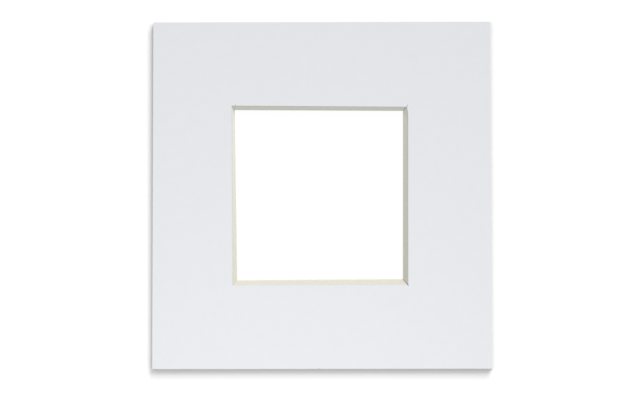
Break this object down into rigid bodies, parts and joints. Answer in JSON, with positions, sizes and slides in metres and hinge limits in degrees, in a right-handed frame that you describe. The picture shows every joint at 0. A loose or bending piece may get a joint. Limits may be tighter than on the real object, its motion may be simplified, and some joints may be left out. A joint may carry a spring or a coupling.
{
  "type": "picture mount",
  "caption": "Flat, nearly square sheet of white mount board with a bevel-edged window that shows its cream core, for framing a small picture.",
  "frame": {"origin": "middle of the back, on the surface that the board lies on", "axes": "+Z out of the face, +Y up the picture, +X across it to the right as seen from the face"},
  "size_m": [0.0992, 0.1016, 0.0014],
  "materials": {
    "mount_board": "matt white facing paper over a cream pulp core that shows on the cut edges"
  },
  "bodies": {
    "root": {"mount_board": "mount_board"}
  },
  "joints": []
}
